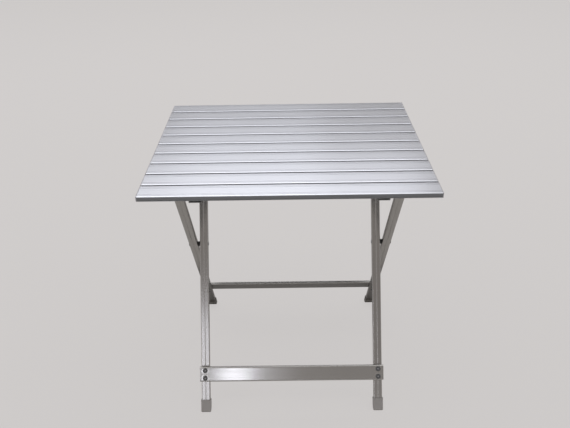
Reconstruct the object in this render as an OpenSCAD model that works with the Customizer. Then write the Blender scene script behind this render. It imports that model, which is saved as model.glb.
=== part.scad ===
// Folding slat-top table: ten aluminium slats on two rails, carried by two crossed leg frames.
// Frame: +X to the right, +Y to the back, +Z up, origin on the floor below the middle of the top.
// The inner frame has its feet in front and is hinged to the rails at the back.
// The outer frame has its feet at the back, and its rod carries the rails in front.

/* [Top] */
// Width of the top, along the slats
top_w = 660; // [560:5:800]
// Height of the table
table_h = 700; // [640:5:780]
// Width of one slat
slat_w = 50.5; // [46:0.5:58]
// Gap between two slats
slat_gap = 4.5; // [2:0.5:5]
// Thickness of a slat
slat_t = 12; // [10:0.5:16]
// Wall of the slat extrusion
slat_wall = 1.2; // [0.8:0.1:1.6]
// Radius of the slat's upper edges
slat_edge_r = 0.8; // [0.6:0.1:2.4]
// Width of each fine groove along a slat
groove_w = 1; // [0.8:0.1:2]
// Depth of each fine groove
groove_d = 0.2; // [0.1:0.05:0.5]
// Thickness of the flange of a slat end cap
end_cap_t = 2; // [1:0.25:3]
// Length of an end cap's prongs inside the slat
end_cap_prong = 10; // [6:1:20]

/* [Rails] */
// Width of the rail channel
rail_w = 28; // [20:1:32]
// Height of the rail channel
rail_h = 14; // [13:0.5:18]
// Wall of the rail channel
rail_wall = 2; // [1.5:0.25:2.5]
// Distance from the edge of the top to the end of a rail
rail_setback = 18; // [14:1:20]
// Free width between a rail and the inner leg beside it
rail_leg_gap = 6; // [6:0.5:10]

/* [Leg frames] */
// Width over the inner legs
inner_frame_w = 498; // [420:2:540]
// Free width between an inner and an outer leg
side_gap = 5.5; // [5:0.5:8]
// Distance between front and back feet, at the legs' middle lines on the floor
foot_spread = 470; // [420:5:520]
// Lean of the legs from upright, in degrees
lean = 30.5; // [27:0.5:33]
// Width of a leg tube
leg_w = 23; // [20:0.5:26]
// Depth of a leg tube
leg_d = 12.5; // [12:0.5:16]
// Wall of a leg tube
leg_wall = 1.5; // [1:0.1:1.8]
// Radius of a leg tube's edges
leg_edge_r = 2; // [1.8:0.1:3]
// Radius of the round groove along the middle of a leg's broad faces
leg_groove_r = 1.6; // [1:0.1:2.4]
// Depth of that groove
leg_groove_d = 0.5; // [0.2:0.05:0.6]
// Leg tube above the middle of its rod
leg_over_rod = 10; // [9:0.5:13]
// Rounded top of a leg plug above the tube
plug_rise = 3; // [2:0.5:4]
// Length of a leg plug inside the tube
plug_depth = 4; // [2:0.5:4]

/* [Crossbars] */
// Height of a crossbar's section
bar_h = 41; // [40:1:48]
// Thickness of a crossbar's section
bar_t = 9.5; // [8:0.5:14]
// Wall of a crossbar
bar_wall = 1.5; // [1:0.1:2]
// Height of the bevels along a crossbar's front and back faces
bar_bevel_h = 3; // [2:0.25:3.5]
// Depth of the bevels
bar_bevel_d = 1.6; // [1:0.1:2.4]
// Crossbar beyond the outer face of the leg
bar_over = 3; // [0:0.5:4]
// Middle of the front crossbar, up the leg from the floor
front_bar_up = 104; // [80:1:140]
// Middle of the rear crossbar, up the leg from the floor
rear_bar_up = 129; // [80:1:160]
// Distance between the two rivets at a crossbar's end
bar_rivet_step = 21; // [16:0.5:22]

/* [Feet] */
// Wall of a foot cap round the leg tube
foot_wall = 1.9; // [1.4:0.1:2.1]
// Length of a foot cap along the leg
foot_l = 31; // [28:1:50]
// Solid sole below the end of the leg tube
foot_sole = 10; // [8:0.5:14]
// Radius of a foot cap's upright edges
foot_edge_r = 3; // [2.2:0.2:4]
// How far the round sole is cut flat to stand on
foot_flat = 1; // [0.5:0.25:2]

/* [Hardware] */
// Diameter of the hinge rod and of the rest rod
rod_d = 8; // [7:0.25:8.5]
// Diameter of a push cap on a rod's end
rod_cap_d = 14; // [12:0.5:16]
// Thickness of a push cap's flange
rod_cap_t = 2; // [1.5:0.25:2.5]
// Diameter of a pivot rivet's shank
pivot_d = 6; // [5:0.25:6.5]
// Diameter of a pivot rivet's heads
pivot_head_d = 12; // [10:0.5:12.5]
// Height of a pivot rivet's low heads
pivot_head_h = 1.4; // [1:0.1:2]
// Diameter of the spacer between the legs
spacer_d = 14; // [13:0.5:22]
// Thickness of the bracket plates
bracket_t = 2; // [1.5:0.25:2.5]
// Diameter of a crossbar rivet's shank
bar_rivet_d = 5; // [4:0.25:6]
// Diameter of a crossbar rivet's head
bar_rivet_head = 14; // [10:0.5:14.5]
// Height of a crossbar rivet's head
bar_rivet_head_h = 2.2; // [1.6:0.1:3]
// Diameter of the mandrel left in a crossbar rivet
mandrel_d = 3.2; // [2.4:0.1:3.2]
// Diameter of the rivets that hold slats and brackets
small_rivet_d = 4; // [3:0.25:4.5]
// Diameter of a small rivet's head
small_rivet_head = 7.5; // [6.5:0.25:8]

/* [Fits] */
// Radial clearance of a pin, rod or rivet in its bore
bore_fit = 0.05; // [0.02:0.01:0.08]
// Clearance on each side of a plastic plug or boot
plug_fit = 0.15; // [0.1:0.05:0.25]
// Clearance between faces that pass or rest near each other
run_gap = 0.3; // [0.2:0.05:0.4]

/* [Hidden] */
SLAT_NAMES = ["slat_01", "slat_02", "slat_03", "slat_04", "slat_05",
              "slat_06", "slat_07", "slat_08", "slat_09", "slat_10"];
$fn = 48;

LEFT = -1;
RIGHT = 1;
SIDES = [LEFT, RIGHT];
cut = 1; // overshoot of every cutting tool

// Colours
slat_col = [0.82, 0.84, 0.87];
frame_col = [0.62, 0.62, 0.61];
steel_col = [0.72, 0.72, 0.73];
foot_col = [0.50, 0.49, 0.48];
black_col = [0.12, 0.12, 0.12];

// Slats
slat_count = len(SLAT_NAMES);
slat_step = slat_w + slat_gap;
top_d = slat_count * slat_w + (slat_count - 1) * slat_gap;
slat_l = top_w - 2 * end_cap_t;
slat_bottom_z = table_h - slat_t;
slat_inner_w = slat_w - 2 * slat_wall;
chamber_w = (slat_inner_w - 2 * slat_wall) / 3;
chamber_h = slat_t - 2 * slat_wall - groove_d;
// Grooves lie over the two outer chambers, two over each
groove_y = [for (s = SIDES, k = [1, 2]) s * (chamber_w / 2 + slat_wall + k * chamber_w / 3)];

// Legs
inner_leg_x = (inner_frame_w - leg_w) / 2;
outer_leg_x = inner_leg_x + leg_w + side_gap;
pivot_z = foot_spread / 2 / tan(lean);
lower_arm = pivot_z / cos(lean);
rail_bottom_z = slat_bottom_z - rail_h;
rod_z = rail_bottom_z - run_gap - rod_d / 2;
upper_arm = (rod_z - pivot_z) / cos(lean);
rod_y = upper_arm * sin(lean);
leg_bottom = -lower_arm + foot_sole;
leg_top = upper_arm + leg_over_rod;
foot_w = leg_w + 2 * (plug_fit + foot_wall);
foot_d = leg_d + 2 * (plug_fit + foot_wall);
foot_corner_r = 7;
foot_lip_h = 3; // bead round the mouth of a foot cap
foot_lip_t = 0.5;

// Rails and brackets
rail_l = top_d - 2 * rail_setback;
rail_x = inner_leg_x - leg_w / 2 - rail_leg_gap; // outer face of the web
bracket_eye_r = rod_d / 2 + 5;
bracket_half_w = 18;
bracket_shoulder_z = rail_bottom_z + 3;
bracket_top_z = slat_bottom_z - rail_wall - 1;
bracket_rivet_z = rail_bottom_z + rail_h / 2;
bracket_rivet_step = 22;
finger_w = 9;
finger_y = -rod_y - rod_d / 2 - run_gap - finger_w; // front edge of the finger
stop_plate_l = 40;
stop_rivet_y = finger_y + stop_plate_l / 2;

// Crossbars
front_bar_l = inner_frame_w + 2 * bar_over;
rear_bar_l = 2 * (outer_leg_x + leg_w / 2 + bar_over);

bar_rivet_tail_h = 1.8;
mandrel_l = bar_t + leg_d - 1;
mandrel_sunk = 0.5;
mandrel_crown = 0.4;

// Small rivets
small_rivet_head_h = 1.6;
small_rivet_tail_d = small_rivet_head - 1;
small_rivet_tail_h = 1.4;

// ---------- sections ----------

// Rectangle with round corners, made of squares and circles
module round_rect(w, h, r) {
    square([w - 2 * r, h], center = true);
    square([w, h - 2 * r], center = true);
    for (x = SIDES, y = SIDES)
        translate([x * (w / 2 - r), y * (h / 2 - r)]) circle(r);
}

// Flat tube of a leg, with a shallow round groove along the middle of each broad face
module leg_section() {
    difference() {
        round_rect(leg_w, leg_d, leg_edge_r);
        round_rect(leg_w - 2 * leg_wall, leg_d - 2 * leg_wall, max(leg_edge_r - leg_wall, 0.25));
        for (y = SIDES)
            translate([0, y * (leg_d / 2 + leg_groove_r - leg_groove_d)]) circle(leg_groove_r);
    }
}

// Flat section of a crossbar whose broad faces are bevelled along both edges
module bar_outline(t, h) {
    x = t / 2;
    y = h / 2;
    polygon([[-x + bar_bevel_d, -y], [x - bar_bevel_d, -y], [x, -y + bar_bevel_h],
             [x, y - bar_bevel_h], [x - bar_bevel_d, y], [-x + bar_bevel_d, y],
             [-x, y - bar_bevel_h], [-x, -y + bar_bevel_h]]);
}

module bar_section() {
    difference() {
        bar_outline(bar_t, bar_h);
        bar_outline(bar_t - 2 * bar_wall, bar_h - 2 * bar_wall);
    }
}

// ---------- placing ----------

// Draws along +X what is drawn in the plane of Y and Z
module along_x(l) {
    rotate([90, 0, 90]) linear_extrude(l, center = true) children();
}

// Leg frames: the origin is at the pivot and +Z runs up the leg
module inner_frame_place() {
    translate([0, 0, pivot_z]) rotate([-lean, 0, 0]) children();
}

module outer_frame_place() {
    translate([0, 0, pivot_z]) rotate([lean, 0, 0]) children();
}

// ---------- fasteners ----------

// Spherical dome on the plane z = 0
module dome(d, h) {
    ball_r = (d * d / 4 + h * h) / (2 * h);
    intersection() {
        translate([0, 0, h - ball_r]) sphere(ball_r, $fn = 64);
        cylinder(d = d, h = h);
    }
}

// Rivet along +Z: its head sits below z = 0 and its tail above z = grip
module rivet(d, grip, head_d, head_h, tail_d, tail_h) {
    mirror([0, 0, 1]) dome(head_d, head_h);
    cylinder(d = d, h = grip);
    translate([0, 0, grip]) dome(tail_d, tail_h);
}

// ---------- top ----------

module slat_outline() {
    // The lower edges are sharper than the upper ones
    translate([0, slat_t / 2]) round_rect(slat_w, slat_t, slat_edge_r);
    translate([-slat_w / 2 + 0.5, 0]) square([slat_w - 1, slat_t / 2]);
    translate([-slat_w / 2, 0.5]) square([slat_w, slat_t / 2]);
    for (s = SIDES) translate([s * (slat_w / 2 - 0.5), 0.5]) circle(0.5);
}

module slat_section() {
    difference() {
        slat_outline();
        for (k = [-1, 0, 1])
            translate([k * (chamber_w + slat_wall) - chamber_w / 2, slat_wall])
                square([chamber_w, chamber_h]);
        for (y = groove_y)
            translate([y - groove_w / 2, slat_t - groove_d]) square([groove_w, groove_d + cut]);
    }
}

function slat_y(i) = (i - (slat_count - 1) / 2) * slat_step;

function slat_rivet_x(side) = side * (rail_x - rail_w / 2);

module slat(i) {
    color(slat_col) translate([0, slat_y(i), slat_bottom_z]) difference() {
        along_x(slat_l) slat_section();
        for (side = SIDES)
            translate([slat_rivet_x(side), 0, -cut])
                cylinder(d = small_rivet_d + 2 * bore_fit, h = slat_wall + 2 * cut);
    }
}

// End cap: a thin flange with the slat's outline and one prong in each chamber
module slat_end_cap() {
    along_x(end_cap_t) slat_outline();
    for (k = [-1, 0, 1])
        translate([-end_cap_t / 2 - end_cap_prong / 2, 0, 0]) along_x(end_cap_prong)
            translate([k * (chamber_w + slat_wall) - chamber_w / 2 + plug_fit, slat_wall + plug_fit])
                square([chamber_w - 2 * plug_fit, chamber_h - 2 * plug_fit]);
}

module slat_end_caps(side) {
    color(foot_col) for (i = [0 : slat_count - 1])
        translate([side * (top_w - end_cap_t) / 2, slat_y(i), slat_bottom_z])
            mirror([side == LEFT ? 1 : 0, 0, 0]) slat_end_cap();
}

// Channel with its web outside and its flanges pointing to the middle of the table
module rail_section() {
    difference() {
        square([rail_w, rail_h]);
        translate([-cut, rail_wall]) square([rail_w - rail_wall + cut, rail_h - 2 * rail_wall]);
    }
}

module rail(side) {
    color(frame_col) mirror([side == LEFT ? 1 : 0, 0, 0]) difference() {
        translate([rail_x - rail_w, 0, rail_bottom_z]) rotate([90, 0, 0])
            linear_extrude(rail_l, center = true) rail_section();
        for (i = [0 : slat_count - 1])
            translate([slat_rivet_x(RIGHT), slat_y(i), slat_bottom_z - rail_wall - cut])
                cylinder(d = small_rivet_d + 2 * bore_fit, h = rail_wall + 2 * cut);
        for (y = bracket_rivet_ys())
            translate([rail_x - rail_wall - cut, y, bracket_rivet_z]) rotate([0, 90, 0])
                cylinder(d = small_rivet_d + 2 * bore_fit, h = rail_wall + 2 * cut);
    }
}

// Blind rivets from inside the channel up into each slat's middle chamber
module slat_rivets(side) {
    color(steel_col) for (i = [0 : slat_count - 1])
        translate([slat_rivet_x(side), slat_y(i), slat_bottom_z - rail_wall])
            rivet(small_rivet_d, rail_wall + slat_wall, small_rivet_head, small_rivet_head_h,
                  small_rivet_tail_d, small_rivet_tail_h);
}

// ---------- brackets on the rails ----------

// Places along Y of the rivets that hold both brackets of one rail
function bracket_rivet_ys() = [
    rod_y - bracket_rivet_step / 2, rod_y + bracket_rivet_step / 2,
    stop_rivet_y - bracket_rivet_step / 2, stop_rivet_y + bracket_rivet_step / 2];

module bracket_plate(side) {
    mirror([side == LEFT ? 1 : 0, 0, 0]) difference() {
        translate([rail_x + bracket_t / 2, 0, 0]) along_x(bracket_t) children();
        for (y = bracket_rivet_ys())
            translate([rail_x - cut, y, bracket_rivet_z]) rotate([0, 90, 0])
                cylinder(d = small_rivet_d + 2 * bore_fit, h = bracket_t + 2 * cut);
    }
}

// Tapered plate with an eye for the hinge rod
module hinge_bracket(side) {
    color(steel_col) difference() {
        bracket_plate(side) union() {
            translate([rod_y, rod_z]) circle(bracket_eye_r);
            polygon([[rod_y - bracket_eye_r, rod_z], [rod_y + bracket_eye_r, rod_z],
                     [rod_y + bracket_half_w, bracket_shoulder_z],
                     [rod_y + bracket_half_w, bracket_top_z],
                     [rod_y - bracket_half_w, bracket_top_z],
                     [rod_y - bracket_half_w, bracket_shoulder_z]]);
        }
        translate([0, rod_y, rod_z]) rotate([0, 90, 0])
            cylinder(d = rod_d + 2 * bore_fit, h = top_w, center = true);
    }
}

// Plate with a finger in front of the rest rod, open below so that the top lifts off
module stop_bracket(side) {
    finger_low_z = rod_z - rod_d / 2 + finger_w / 2;
    color(steel_col) bracket_plate(side) union() {
        translate([finger_y, rail_bottom_z])
            square([stop_plate_l, bracket_top_z - rail_bottom_z]);
        translate([finger_y, finger_low_z]) square([finger_w, rail_bottom_z - finger_low_z + cut]);
        translate([finger_y + finger_w / 2, finger_low_z]) circle(finger_w / 2);
    }
}

module bracket_rivets() {
    color(steel_col) for (side = SIDES, y = bracket_rivet_ys())
        mirror([side == LEFT ? 1 : 0, 0, 0])
            translate([rail_x + bracket_t, y, bracket_rivet_z]) rotate([0, -90, 0])
                rivet(small_rivet_d, rail_wall + bracket_t, small_rivet_head, small_rivet_head_h,
                      small_rivet_tail_d, small_rivet_tail_h);
}

// ---------- rods ----------

module rod(l) {
    rotate([0, 90, 0]) cylinder(d = rod_d, h = l, center = true);
}

// Domed cap pressed on a rod's end, its flange towards -X
module push_cap() {
    rotate([0, 90, 0]) {
        cylinder(d = rod_cap_d, h = rod_cap_t / 2);
        translate([0, 0, rod_cap_t / 2]) dome(rod_cap_d - 1, rod_cap_t / 2);
    }
}

hinge_rod_l = inner_frame_w + 2 * run_gap;
rest_rod_l = 2 * (outer_leg_x + leg_w / 2);

module hinge_rod() {
    color(steel_col) translate([0, rod_y, rod_z]) rod(hinge_rod_l);
}

module hinge_rod_push_caps() {
    color(black_col) for (side = SIDES) mirror([side == LEFT ? 1 : 0, 0, 0])
        translate([hinge_rod_l / 2, rod_y, rod_z]) push_cap();
}

module rest_rod() {
    color(steel_col) translate([0, -rod_y, rod_z]) rod(rest_rod_l);
}

module rest_rod_push_caps() {
    color(black_col) for (side = SIDES) mirror([side == LEFT ? 1 : 0, 0, 0])
        translate([rest_rod_l / 2, -rod_y, rod_z]) push_cap();
}

// ---------- legs ----------

// Tube along +Z with bores for the pivot rivet, the rod and the crossbar's rivets
module leg(bar_up) {
    difference() {
        translate([0, 0, leg_bottom]) linear_extrude(leg_top - leg_bottom)
            leg_section();
        rotate([0, 90, 0])
            cylinder(d = pivot_d + 2 * bore_fit, h = leg_w + 2 * cut, center = true);
        translate([0, 0, upper_arm]) rotate([0, 90, 0])
            cylinder(d = rod_d + 2 * bore_fit, h = leg_w + 2 * cut, center = true);
        for (s = SIDES)
            translate([0, 0, bar_up - lower_arm + s * bar_rivet_step / 2]) rotate([90, 0, 0])
                cylinder(d = bar_rivet_d + 2 * bore_fit, h = leg_d + 2 * cut, center = true);
    }
}

module inner_leg(side) {
    color(frame_col) inner_frame_place() translate([side * inner_leg_x, 0, 0]) leg(front_bar_up);
}

module outer_leg(side) {
    color(frame_col) outer_frame_place() translate([side * outer_leg_x, 0, 0]) leg(rear_bar_up);
}

// Plug with a rounded top that closes a leg tube
module leg_plug() {
    inner_w = leg_w - 2 * (leg_wall + plug_fit);
    inner_d = leg_d - 2 * (leg_wall + plug_fit);
    crown_r = (leg_d * leg_d / 4 + plug_rise * plug_rise) / (2 * plug_rise);
    translate([0, 0, leg_top - plug_depth]) linear_extrude(plug_depth)
        square([inner_w, inner_d], center = true);
    intersection() {
        translate([0, 0, leg_top]) linear_extrude(plug_rise)
            round_rect(leg_w, leg_d, leg_edge_r);
        translate([0, 0, leg_top + plug_rise - crown_r]) rotate([0, 90, 0])
            cylinder(r = crown_r, h = leg_w, center = true, $fn = 96);
    }
}

module inner_leg_plugs() {
    color(foot_col) for (side = SIDES)
        inner_frame_place() translate([side * inner_leg_x, 0, 0]) leg_plug();
}

module outer_leg_plugs() {
    color(foot_col) for (side = SIDES)
        outer_frame_place() translate([side * outer_leg_x, 0, 0]) leg_plug();
}

// ---------- crossbars ----------

// Hollow bar across both legs, bored for two rivets at each end
module crossbar(l, leg_x) {
    difference() {
        along_x(l) bar_section();
        for (side = SIDES, s = SIDES)
            translate([side * leg_x, 0, s * bar_rivet_step / 2]) rotate([90, 0, 0])
                cylinder(d = bar_rivet_d + 2 * bore_fit, h = bar_t + 2 * cut, center = true);
    }
}

// Places of a crossbar's rivets, +Z running from the bar's outer face into the leg
module at_bar_rivets(leg_x) {
    for (side = SIDES, s = SIDES)
        translate([side * leg_x, -bar_t / 2, s * bar_rivet_step / 2]) rotate([-90, 0, 0])
            children();
}

// Tubular blind rivets through bar and leg
module crossbar_rivets(leg_x) {
    at_bar_rivets(leg_x) difference() {
        rivet(bar_rivet_d, bar_t + leg_d, bar_rivet_head, bar_rivet_head_h,
              bar_rivet_head - 3, bar_rivet_tail_h);
        translate([0, 0, -bar_rivet_head_h - cut])
            cylinder(d = mandrel_d + 2 * bore_fit, h = mandrel_l + bar_rivet_head_h + 2 * cut);
    }
}

// Broken mandrels inside the rivets, a little below the rim of each head
module rivet_mandrels(leg_x) {
    at_bar_rivets(leg_x) translate([0, 0, mandrel_sunk - bar_rivet_head_h]) {
        cylinder(d = mandrel_d, h = mandrel_l + bar_rivet_head_h - mandrel_sunk);
        mirror([0, 0, 1]) dome(mandrel_d, mandrel_crown);
    }
}

bar_mid_y = -(leg_d + bar_t) / 2;

module front_bar_place() {
    inner_frame_place() translate([0, bar_mid_y, front_bar_up - lower_arm]) children();
}

// The rear bar is turned round, so that its rivets' heads face the back
module rear_bar_place() {
    outer_frame_place() translate([0, -bar_mid_y, rear_bar_up - lower_arm])
        rotate([0, 0, 180]) children();
}

module front_crossbar() {
    color(frame_col) front_bar_place() crossbar(front_bar_l, inner_leg_x);
}

module rear_crossbar() {
    color(frame_col) rear_bar_place() crossbar(rear_bar_l, outer_leg_x);
}

module front_crossbar_rivets() {
    color(black_col) front_bar_place() crossbar_rivets(inner_leg_x);
}

module rear_crossbar_rivets() {
    color(black_col) rear_bar_place() crossbar_rivets(outer_leg_x);
}

module front_rivet_mandrels() {
    color(steel_col) front_bar_place() rivet_mandrels(inner_leg_x);
}

module rear_rivet_mandrels() {
    color(steel_col) rear_bar_place() rivet_mandrels(outer_leg_x);
}

// ---------- feet ----------

// Boot over the leg's end, standing on the floor below the leg's middle line.
// lean_dir is 1 where the leg's top leans to the back and -1 where it leans to the front.
module foot(lean_dir) {
    sole_r = foot_d / 2;
    difference() {
        intersection() {
            union() {
                rotate([-lean_dir * lean, 0, 0]) {
                    linear_extrude(foot_l) round_rect(foot_w, foot_d, foot_edge_r);
                    translate([0, 0, foot_l - foot_lip_h]) linear_extrude(foot_lip_h)
                        round_rect(foot_w + 2 * foot_lip_t, foot_d + 2 * foot_lip_t,
                                   foot_edge_r + foot_lip_t);
                }
                translate([0, 0, sole_r - foot_flat]) rotate([0, 90, 0])
                    cylinder(r = sole_r, h = foot_w, center = true, $fn = 96);
            }
            // Round lower corners, seen from the front
            translate([0, 0, foot_l / 2 + foot_corner_r]) rotate([90, 0, 0])
                linear_extrude(4 * foot_d, center = true)
                    round_rect(foot_w + 2 * foot_lip_t, foot_l + 2 * foot_corner_r,
                               foot_corner_r);
            translate([-foot_w, -2 * foot_d, 0]) cube([2 * foot_w, 4 * foot_d, 2 * foot_l]);
        }
        rotate([-lean_dir * lean, 0, 0]) translate([0, 0, foot_sole])
            linear_extrude(foot_l)
                round_rect(leg_w + 2 * plug_fit, leg_d + 2 * plug_fit, leg_edge_r);
    }
}

module inner_foot(side) {
    color(foot_col) translate([side * inner_leg_x, -foot_spread / 2, 0]) foot(1);
}

module outer_foot(side) {
    color(foot_col) translate([side * outer_leg_x, foot_spread / 2, 0]) foot(-1);
}

// ---------- pivot ----------

spacer_t = side_gap - run_gap;
pivot_grip = 2 * leg_w + side_gap + run_gap;

module on_pivot(side) {
    mirror([side == LEFT ? 1 : 0, 0, 0]) translate([inner_leg_x - leg_w / 2, 0, pivot_z])
        rotate([0, 90, 0]) children();
}

// Tubular rivets with low heads, fast in the inner legs and free in the outer ones
module pivot_rivets() {
    color(steel_col) for (side = SIDES) on_pivot(side)
        rivet(pivot_d, pivot_grip, pivot_head_d, pivot_head_h, pivot_head_d, pivot_head_h);
}

module pivot_spacers() {
    color(black_col) for (side = SIDES) on_pivot(side)
        translate([0, 0, leg_w]) difference() {
            cylinder(d = spacer_d, h = spacer_t);
            translate([0, 0, -cut]) cylinder(d = pivot_d + 2 * bore_fit, h = spacer_t + 2 * cut);
        }
}

// ---------- drawing ----------

for (i = [0 : slat_count - 1])
    slat(i);
slat_end_caps(LEFT);  // slat_end_caps_left
slat_end_caps(RIGHT);  // slat_end_caps_right
rail(LEFT);  // rail_left
rail(RIGHT);  // rail_right
slat_rivets(LEFT);  // slat_rivets_left
slat_rivets(RIGHT);  // slat_rivets_right
hinge_bracket(LEFT);  // hinge_bracket_left
hinge_bracket(RIGHT);  // hinge_bracket_right
stop_bracket(LEFT);  // stop_bracket_left
stop_bracket(RIGHT);  // stop_bracket_right
bracket_rivets();
hinge_rod();
hinge_rod_push_caps();
inner_leg(LEFT);  // inner_leg_left
inner_leg(RIGHT);  // inner_leg_right
inner_leg_plugs();
front_crossbar();
front_crossbar_rivets();
front_rivet_mandrels();
inner_foot(LEFT);  // inner_foot_left
inner_foot(RIGHT);  // inner_foot_right
outer_leg(LEFT);  // outer_leg_left
outer_leg(RIGHT);  // outer_leg_right
outer_leg_plugs();
rear_crossbar();
rear_crossbar_rivets();
rear_rivet_mandrels();
outer_foot(LEFT);  // outer_foot_left
outer_foot(RIGHT);  // outer_foot_right
rest_rod();
rest_rod_push_caps();
pivot_rivets();
pivot_spacers();
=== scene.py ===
# %% [markdown]
# # A folding table of aluminium slats
# The table already exists as solids: ten slats, two rails, a scissor frame and
# its small fittings, each a node that rides on its own moving body. This lesson
# dresses it: a camera and soft studio light, a finish for every material, and
# finer pieces where a slat, a crossbar, a moulding or a rivet deserves a better
# shape.

# %% Load the table
import math

import bpy
from mathutils import Matrix, Vector


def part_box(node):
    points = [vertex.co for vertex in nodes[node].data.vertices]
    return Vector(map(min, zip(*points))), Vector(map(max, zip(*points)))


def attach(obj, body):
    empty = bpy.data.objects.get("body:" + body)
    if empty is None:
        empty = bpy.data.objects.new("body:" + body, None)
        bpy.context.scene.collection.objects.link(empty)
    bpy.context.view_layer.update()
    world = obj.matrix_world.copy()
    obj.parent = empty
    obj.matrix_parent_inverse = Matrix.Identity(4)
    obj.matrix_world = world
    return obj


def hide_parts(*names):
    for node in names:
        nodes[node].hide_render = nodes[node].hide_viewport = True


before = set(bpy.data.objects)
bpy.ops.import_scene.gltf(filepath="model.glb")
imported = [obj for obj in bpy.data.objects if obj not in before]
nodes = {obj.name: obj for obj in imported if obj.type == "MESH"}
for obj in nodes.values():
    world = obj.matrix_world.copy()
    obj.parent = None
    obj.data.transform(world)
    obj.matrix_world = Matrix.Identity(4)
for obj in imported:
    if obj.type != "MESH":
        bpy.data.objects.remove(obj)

bpy.ops.object.select_all(action="DESELECT")
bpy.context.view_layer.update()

# %% [markdown]
# ## Camera
# A catalogue view: a person stands in front of the table and looks down on it
# at about thirty degrees with a slightly long lens. The camera could be aimed at
# a target, but here it is built from its place and three turns, so that each
# number can be changed on its own.

# %% The camera
camera_place = Vector((-0.0006, -1.4147, 1.333))
camera_turn, camera_tip, camera_roll = (math.radians(a) for a in (0.468, 90 - 30.756, -0.997))

camera_data = bpy.data.cameras.new("camera")
camera_data.sensor_width = 36
camera_data.lens = 38.61
camera_data.clip_end = 100
camera = bpy.data.objects.new("camera", camera_data)
camera.matrix_world = (
    Matrix.Translation(camera_place)
    @ Matrix.Rotation(camera_turn, 4, "Z")
    @ Matrix.Rotation(camera_tip, 4, "X")
    @ Matrix.Rotation(camera_roll, 4, "Z")
)
bpy.context.scene.collection.objects.link(camera)
bpy.context.scene.camera = camera
bpy.context.scene.view_settings.view_transform = "Standard"
print("camera stands", round(camera_place.length, 2), "m from the middle of the floor")

# %% [markdown]
# ## Colours and nodes
# Colours are written the way a paint chart gives them, as sRGB hex, and turned
# to the linear values that shaders work with. Materials are built from nodes,
# and one small helper adds a node with its settings and its inputs. An input is
# a number, a colour or another node's output.

# %% Three helpers
def linear(hex_colour):
    """The linear colour of an sRGB hex value such as "#8a8c90"."""
    parts = [int(hex_colour[i : i + 2], 16) / 255 for i in (1, 3, 5)]
    return tuple(c / 12.92 if c <= 0.04045 else ((c + 0.055) / 1.055) ** 2.4 for c in parts) + (1,)


def add(tree, kind, inputs=None, **settings):
    """Adds a node; an input is a number, a colour or another node's socket."""
    node = tree.nodes.new(kind)
    for name, value in settings.items():
        setattr(node, name, value)
    for name, value in (inputs or {}).items():
        if isinstance(value, bpy.types.NodeSocket):
            tree.links.new(value, node.inputs[name])
        else:
            node.inputs[name].default_value = value
    return node


def finish(name):
    """A new material with an empty tree; returns both."""
    material = bpy.data.materials.new(name)
    material.use_nodes = True
    material.node_tree.nodes.clear()
    return material, material.node_tree


print("the grey #808080 is", round(linear("#808080")[0], 3), "in linear light")

# %% [markdown]
# ## Floor
# A sheet of pale matt paper, so wide that its edge is the horizon. Paper is
# never quite even, so a slow noise moves its tone by one or two percent. The
# paper keeps the table's faint shadow. To stay evenly pale all the same, it
# glows by four fifths where the camera or a polished face looks at it, and that
# glow lights nothing else.

# %% The paper floor
glow_part = 0.82

bpy.ops.mesh.primitive_plane_add(size=80)
floor = bpy.context.object
floor.name = "floor"
paper, tree = finish("pale matt paper")
place = add(tree, "ShaderNodeTexCoord")
mottle = add(
    tree,
    "ShaderNodeTexNoise",
    {"Vector": place.outputs["Object"], "Scale": 2.5, "Detail": 2.0},
)
tone = add(
    tree,
    "ShaderNodeMix",
    {0: mottle.outputs["Fac"], 6: linear("#dcdad9"), 7: linear("#dfdcdb")},
    data_type="RGBA",
)
matt = add(tree, "ShaderNodeBsdfDiffuse", {"Color": tone.outputs[2], "Roughness": 1.0})
shine = add(tree, "ShaderNodeEmission", {"Color": linear("#d3d0cf")})
ray = add(tree, "ShaderNodeLightPath")
mirrored = add(
    tree,
    "ShaderNodeMath",
    {0: ray.outputs["Is Glossy Ray"], 1: ray.outputs["Is Transmission Ray"]},
    operation="MAXIMUM",
)
seen = add(
    tree,
    "ShaderNodeMath",
    {0: ray.outputs["Is Camera Ray"], 1: mirrored.outputs[0]},
    operation="MAXIMUM",
)
share = add(tree, "ShaderNodeMath", {0: seen.outputs[0], 1: glow_part}, operation="MULTIPLY")
both = add(
    tree,
    "ShaderNodeMixShader",
    {0: share.outputs[0], 1: matt.outputs["BSDF"], 2: shine.outputs["Emission"]},
)
add(tree, "ShaderNodeOutputMaterial", {"Surface": both.outputs["Shader"]})
floor.data.materials.append(paper)
print("floor", [round(v) for v in floor.dimensions.xy], "m")

# %% [markdown]
# ## Sky
# Polished metal shows nothing but what stands round it, so the room is drawn as
# much as the light. The sky is pale at the horizon, like the paper, dimmer above
# eye level and a little paler again overhead. To the left and right it stays
# pale much higher up, so that the sides of the table don't go dark when it is
# looked at from there. A picture of a real studio could be used, but a few
# plain tones are easier to steer and show no corners in the metal.

# %% The sky
horizon = "#c8c5c3"
sky_steps = [
    (0.0, horizon),
    (0.05, horizon),
    (0.28, "#8f8a86"),
    (0.58, "#9e9995"),
    (0.93, "#a39f9b"),
    (0.99, "#a8a5a2"),
]

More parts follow.
